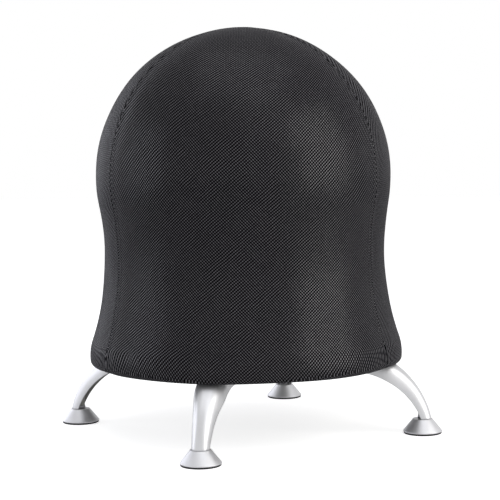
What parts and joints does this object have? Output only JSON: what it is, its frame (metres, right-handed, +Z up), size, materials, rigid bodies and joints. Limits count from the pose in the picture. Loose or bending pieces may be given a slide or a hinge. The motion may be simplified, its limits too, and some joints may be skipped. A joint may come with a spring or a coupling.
{
  "type": "balance ball chair",
  "caption": "Backless seat: an inflated ball in a domed black mesh cover with a drawn-in waist, on a round tray with curved silver legs and screw glides.",
  "frame": {"origin": "on the floor, under the middle of the chair", "axes": "+Z up, -Y towards the front leg, +X towards the right leg"},
  "size_m": [0.5728, 0.5728, 0.5838],
  "materials": {
    "cover_mesh": "black polyester air mesh, matt with a faint sheen",
    "ball_skin": "grey PVC, dull",
    "valve_plug": "white moulded plug",
    "tray_plastic": "black moulded plastic, fine grain",
    "hem_tape": "black woven tape",
    "elastic": "black braided elastic",
    "leg_silver": "cast, satin silver paint",
    "cup_silver": "pressed steel, satin silver",
    "stem_zinc": "dark zinc plate",
    "screw_zinc": "zinc plate",
    "insert_brass": "plain brass",
    "pad_nylon": "black nylon"
  },
  "bodies": {
    "root": {"base_tray": "tray_plastic", "leg_front": "leg_silver", "leg_right": "leg_silver", "leg_rear": "leg_silver", "leg_left": "leg_silver", "leg_bolts": "screw_zinc", "leg_washers": "screw_zinc", "leg_inserts": "insert_brass", "hem_binding": "hem_tape", "hem_elastic": "elastic"},
    "seat": {"ball": "ball_skin", "cover_front": "cover_mesh", "cover_right": "cover_mesh", "cover_left": "cover_mesh"},
    "valve_plug": {"valve_plug": "valve_plug"},
    "glide_front": {"glide_cup_front": "cup_silver", "glide_pad_front": "pad_nylon"},
    "stem_front": {"glide_stem_front": "stem_zinc"},
    "glide_right": {"glide_cup_right": "cup_silver", "glide_pad_right": "pad_nylon"},
    "stem_right": {"glide_stem_right": "stem_zinc"},
    "glide_rear": {"glide_cup_rear": "cup_silver", "glide_pad_rear": "pad_nylon"},
    "stem_rear": {"glide_stem_rear": "stem_zinc"},
    "glide_left": {"glide_cup_left": "cup_silver", "glide_pad_left": "pad_nylon"},
    "stem_left": {"glide_stem_left": "stem_zinc"}
  },
  "joints": [
    {"name": "seat_bounce", "type": "slide", "parent": "root", "child": "seat", "axis": [0, 0, -1], "range_m": [0, 0.06], "stiffness_N_per_m": 12000, "springref_m": -0.004, "deforming": ["ball", "cover_front", "cover_right", "cover_left"]},
    {"name": "valve_plug_pull", "type": "slide", "parent": "root", "child": "valve_plug", "axis": [0, 0, -1], "range_m": [0, 0.02]},
    {"name": "glide_lower_front", "type": "slide", "parent": "root", "child": "glide_front", "axis": [0, 0, -1], "range_m": [0, 0.0075]},
    {"name": "glide_turn_front", "type": "hinge", "parent": "glide_front", "child": "stem_front", "pos_m": [0, -0.2586, 0.03], "axis": [0, 0, -1], "range_deg": [0, 2160]},
    {"name": "glide_lower_right", "type": "slide", "parent": "root", "child": "glide_right", "axis": [0, 0, -1], "range_m": [0, 0.0075]},
    {"name": "glide_turn_right", "type": "hinge", "parent": "glide_right", "child": "stem_right", "pos_m": [0.2586, 0, 0.03], "axis": [0, 0, -1], "range_deg": [0, 2160]},
    {"name": "glide_lower_rear", "type": "slide", "parent": "root", "child": "glide_rear", "axis": [0, 0, -1], "range_m": [0, 0.0075]},
    {"name": "glide_turn_rear", "type": "hinge", "parent": "glide_rear", "child": "stem_rear", "pos_m": [0, 0.2586, 0.03], "axis": [0, 0, -1], "range_deg": [0, 2160]},
    {"name": "glide_lower_left", "type": "slide", "parent": "root", "child": "glide_left", "axis": [0, 0, -1], "range_m": [0, 0.0075]},
    {"name": "glide_turn_left", "type": "hinge", "parent": "glide_left", "child": "stem_left", "pos_m": [-0.2586, 0, 0.03], "axis": [0, 0, -1], "range_deg": [0, 2160]}
  ],
  "couplings": [
    {"joint": "glide_turn_front", "follows": "glide_lower_front", "rad_per_m": 5026.5},
    {"joint": "glide_turn_right", "follows": "glide_lower_right", "rad_per_m": 5026.5},
    {"joint": "glide_turn_rear", "follows": "glide_lower_rear", "rad_per_m": 5026.5},
    {"joint": "glide_turn_left", "follows": "glide_lower_left", "rad_per_m": 5026.5}
  ]
}
